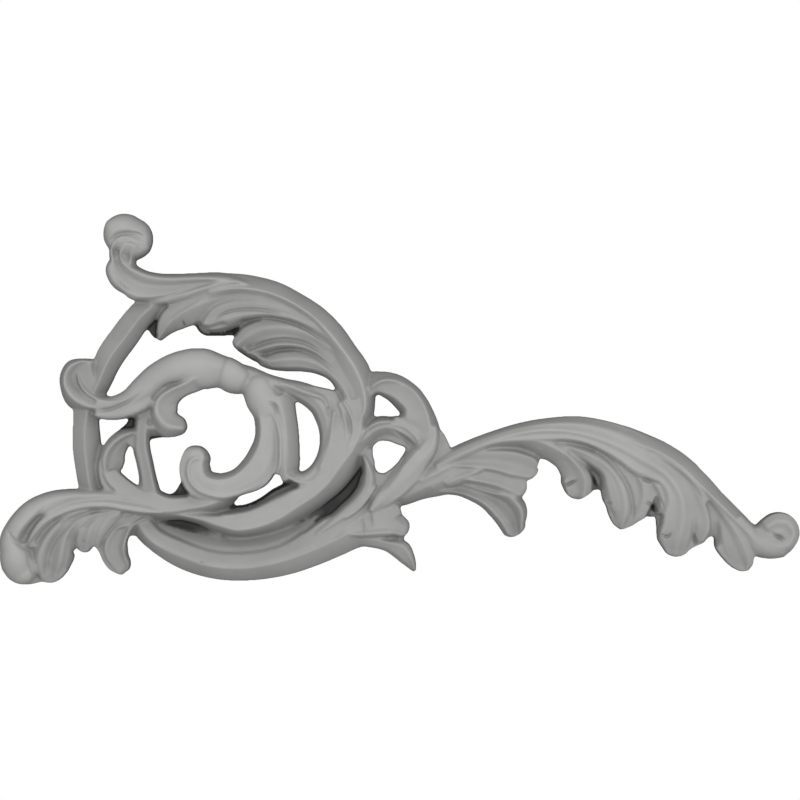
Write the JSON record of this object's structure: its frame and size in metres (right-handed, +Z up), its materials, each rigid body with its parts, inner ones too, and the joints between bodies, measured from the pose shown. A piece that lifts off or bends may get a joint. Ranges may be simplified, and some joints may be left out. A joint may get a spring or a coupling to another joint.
{
  "type": "leaf scroll onlay",
  "caption": "Pierced acanthus scroll onlay with a flat back: leaves, a volute and a round knob on a ring bar, with a long leaf running out to an end curl. Fixes to a flat panel.",
  "frame": {"origin": "On the flat back, at the mount behind the outer stem, 170 mm from the left end", "axes": "+X right as seen from the front along the longest side, +Y out of the flat back towards the wall, +Z up; the carved face looks along -Y"},
  "size_m": [0.4, 0.0189, 0.1852],
  "materials": {
    "primer": "matte grey primer on cast resin"
  },
  "bodies": {
    "root": {"leaf_scroll_onlay": "primer"}
  },
  "joints": []
}
